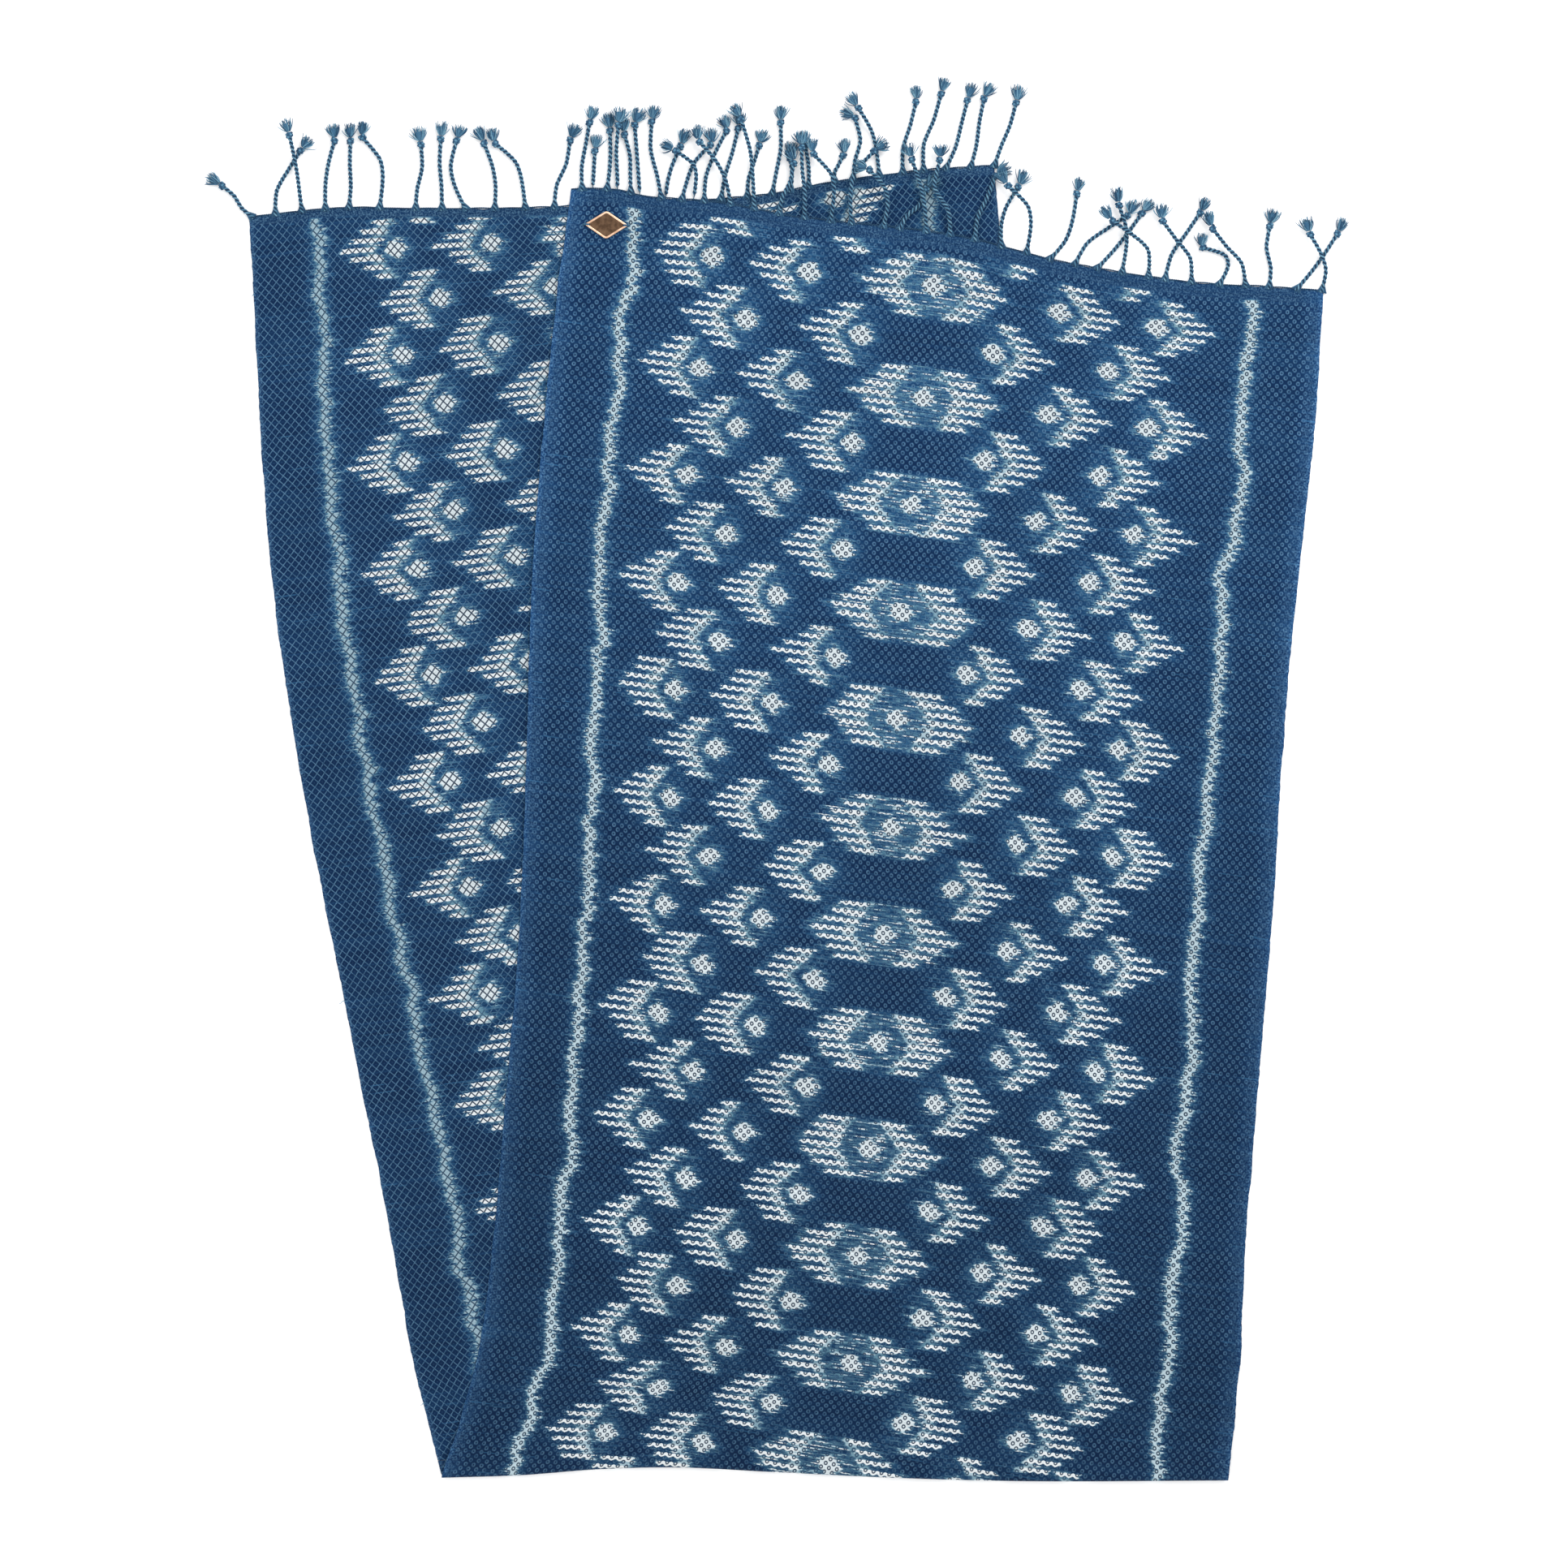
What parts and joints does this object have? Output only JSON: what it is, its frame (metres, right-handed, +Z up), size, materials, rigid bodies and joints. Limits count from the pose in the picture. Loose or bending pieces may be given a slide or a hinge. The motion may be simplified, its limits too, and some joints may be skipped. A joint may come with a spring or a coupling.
{
  "type": "scarf",
  "caption": "Hand-woven indigo ikat scarf, folded once crosswise and laid flat, with twisted knotted fringe on both short ends and a small bare bronze lozenge plate.",
  "frame": {"origin": "under the middle of the laid scarf, on the surface that it lies on", "axes": "+Z up from the surface, +Y along the scarf from the fold to the fringe ends, +X to the right of the upper stretch as seen from above"},
  "size_m": [0.8224, 1.0106, 0.0141],
  "materials": {
    "cloth_face": "matt cotton, bird's-eye twill, face",
    "cloth_reverse": "matt cotton, bird's-eye twill, reverse",
    "fringe_yarn": "matt two-ply twisted cotton",
    "bronze": "dark patina with a bright raised rim"
  },
  "bodies": {
    "root": {"upper_stretch": "cloth_face", "lower_stretch": "cloth_reverse", "upper_fringe": "fringe_yarn", "lower_fringe": "fringe_yarn", "label_plate": "bronze"}
  },
  "joints": []
}
